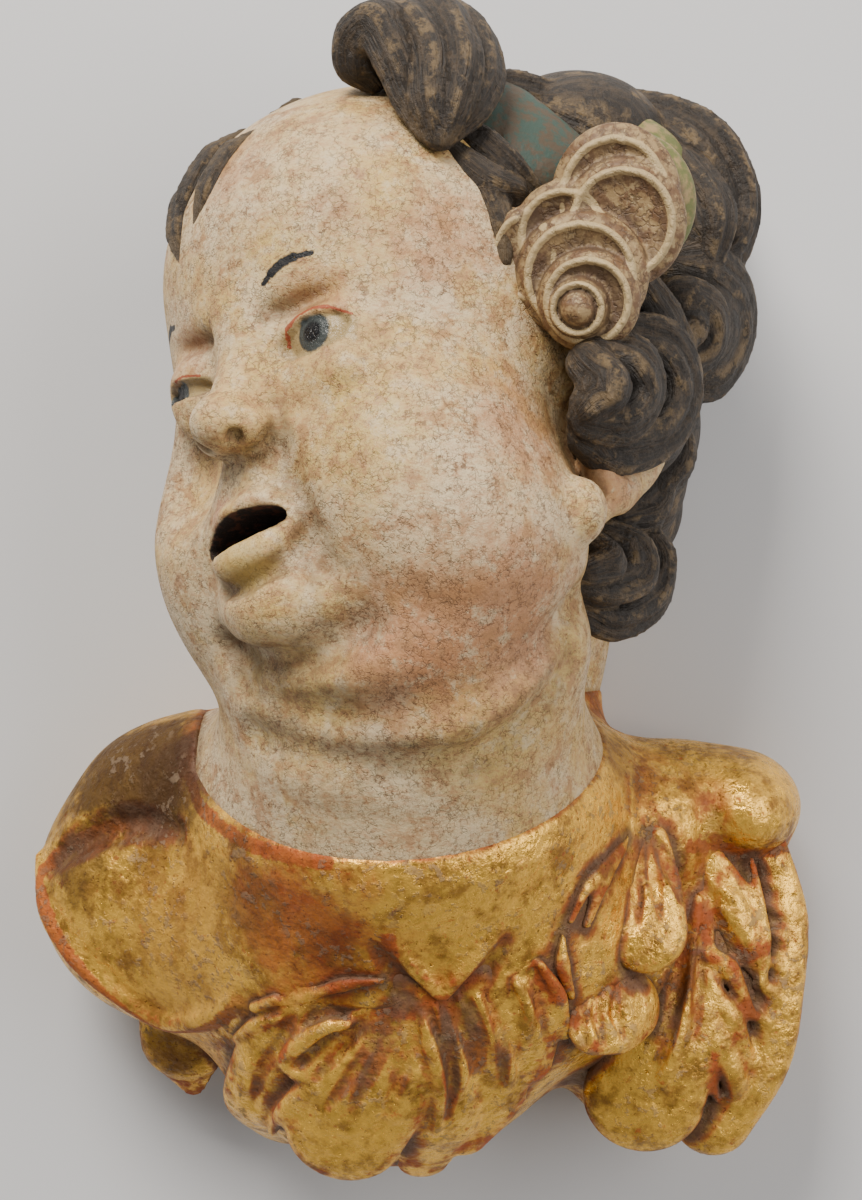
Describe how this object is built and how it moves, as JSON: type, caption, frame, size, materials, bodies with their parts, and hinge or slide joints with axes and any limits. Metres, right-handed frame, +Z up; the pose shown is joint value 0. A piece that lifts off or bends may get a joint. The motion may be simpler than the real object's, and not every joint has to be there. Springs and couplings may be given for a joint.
{
  "type": "cherub wall plaque",
  "caption": "Carved cherub head looking up to one side over a collar of gilded wings and feathers, flat behind to hang on a wall.",
  "frame": {"origin": "on the flat back, level with the middle of the piece, where it lies against the wall", "axes": "+Z up the wall, +Y into the wall, so the carving faces -Y; +X to the viewer's right"},
  "size_m": [0.1521, 0.102, 0.2202],
  "materials": {
    "painted_wood": "flesh paint over gesso on carved wood, crackled and worn",
    "hair_paint": "dark brown paint rubbed on the ridges",
    "rose_paint": "worn cream and brown paint",
    "gilding": "burnished gold leaf over red-orange clay ground, rubbed through"
  },
  "bodies": {
    "root": {"cherub": "painted_wood"}
  },
  "joints": []
}
